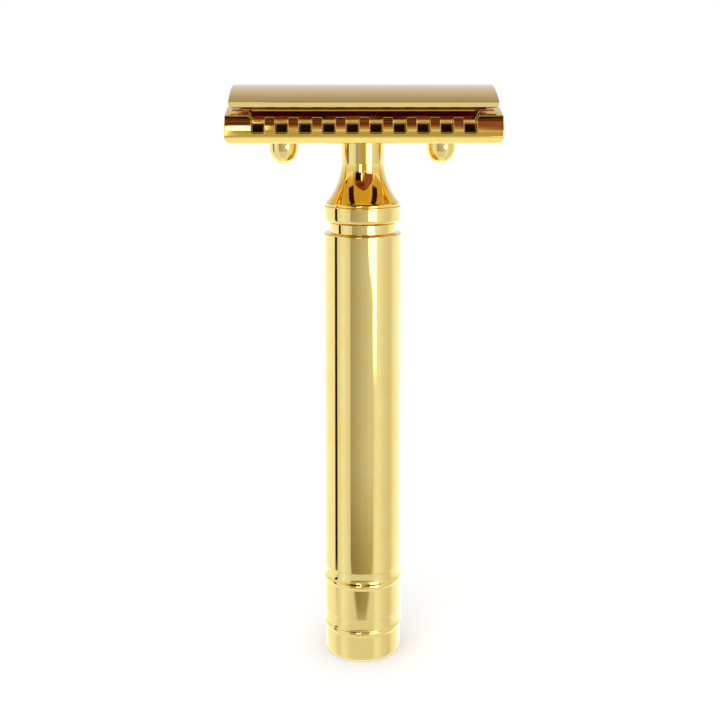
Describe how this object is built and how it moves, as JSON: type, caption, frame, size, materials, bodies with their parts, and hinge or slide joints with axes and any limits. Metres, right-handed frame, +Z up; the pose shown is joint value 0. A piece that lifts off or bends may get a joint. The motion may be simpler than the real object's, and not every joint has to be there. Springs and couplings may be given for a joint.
{
  "type": "safety razor",
  "caption": "Three-piece double-edge safety razor with an open comb head, an arched solid cap and a turned handle with a trumpet neck.",
  "frame": {"origin": "centre of the handle's flat resting face", "axes": "+Z up the handle towards the head, +X along the head and the blade's edges, +Y across the head from one comb to the other"},
  "size_m": [0.042, 0.0258, 0.0931],
  "materials": {
    "handle_gold": "mirror-polished gold plate on turned brass",
    "head_gold": "mirror-polished gold plate on cast brass",
    "stud_gold": "machined brass with thin gold plate",
    "blade_steel": "rolled stainless steel with two ground edges"
  },
  "bodies": {
    "handle": {"handle": "handle_gold"},
    "plate": {"base_plate": "head_gold"},
    "cap": {"top_cap": "head_gold", "threaded_stud": "stud_gold", "guide_pin_left": "stud_gold", "guide_pin_right": "stud_gold"},
    "blade": {"razor_blade": "blade_steel"}
  },
  "joints": [
    {"name": "head_turn", "type": "hinge", "parent": "handle", "child": "plate", "pos_m": [0, 0, 0.08415], "axis": [0, 0, 1], "range_deg": [0, 3240]},
    {"name": "cap_lift", "type": "slide", "parent": "plate", "child": "cap", "axis": [0, 0, 1], "range_m": [0, 0.0072]},
    {"name": "blade_lift", "type": "slide", "parent": "plate", "child": "blade", "axis": [0, 0, 1], "range_m": [0, 0.0036]}
  ],
  "couplings": [
    {"joint": "cap_lift", "follows": "head_turn", "m_per_rad": 0.00012732},
    {"joint": "blade_lift", "follows": "head_turn", "m_per_rad": 0.00006366}
  ]
}
